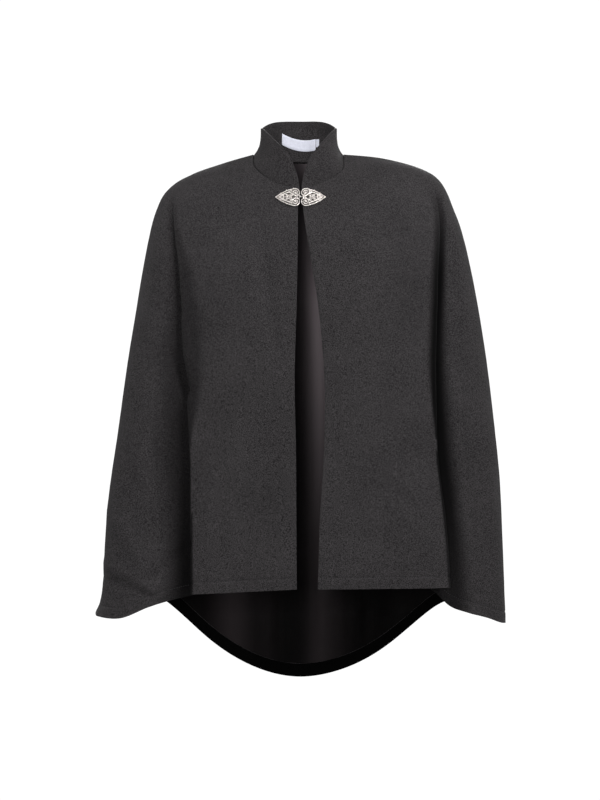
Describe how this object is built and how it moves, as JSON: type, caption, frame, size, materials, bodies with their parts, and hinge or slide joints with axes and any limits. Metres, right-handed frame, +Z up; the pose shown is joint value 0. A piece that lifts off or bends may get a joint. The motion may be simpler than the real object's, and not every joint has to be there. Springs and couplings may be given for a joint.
{
  "type": "cape",
  "caption": "Hip-length cape with a standing collar, an open front with a metal clasp, arm parts behind deep folds and a longer rounded back",
  "frame": {"origin": "centre of the neck at the height of the side neck seams, in the plane of the side seams, where the wearer's shoulders hold the cape", "axes": "+Z up, the front faces -Y, +X is the wearer's left"},
  "size_m": [0.6518, 0.3002, 0.9141],
  "materials": {
    "wool": "matte charcoal coating with a fine mottled weave",
    "satin": "dark purple-grey satin",
    "dark_band": "near black turned-up hem",
    "white_tape": "woven white tape, bare",
    "old_silver": "old silver, cast scrollwork, darkened in the hollows"
  },
  "bodies": {
    "root": {"front_right": "wool", "front_left": "wool", "back": "wool", "collar": "wool", "back_lining": "satin", "back_hem_band": "dark_band", "neck_label": "white_tape", "size_tab": "white_tape", "clasp_plate_right": "old_silver", "clasp_plate_left": "old_silver", "clasp_hook": "old_silver", "clasp_eye": "old_silver"}
  },
  "joints": []
}
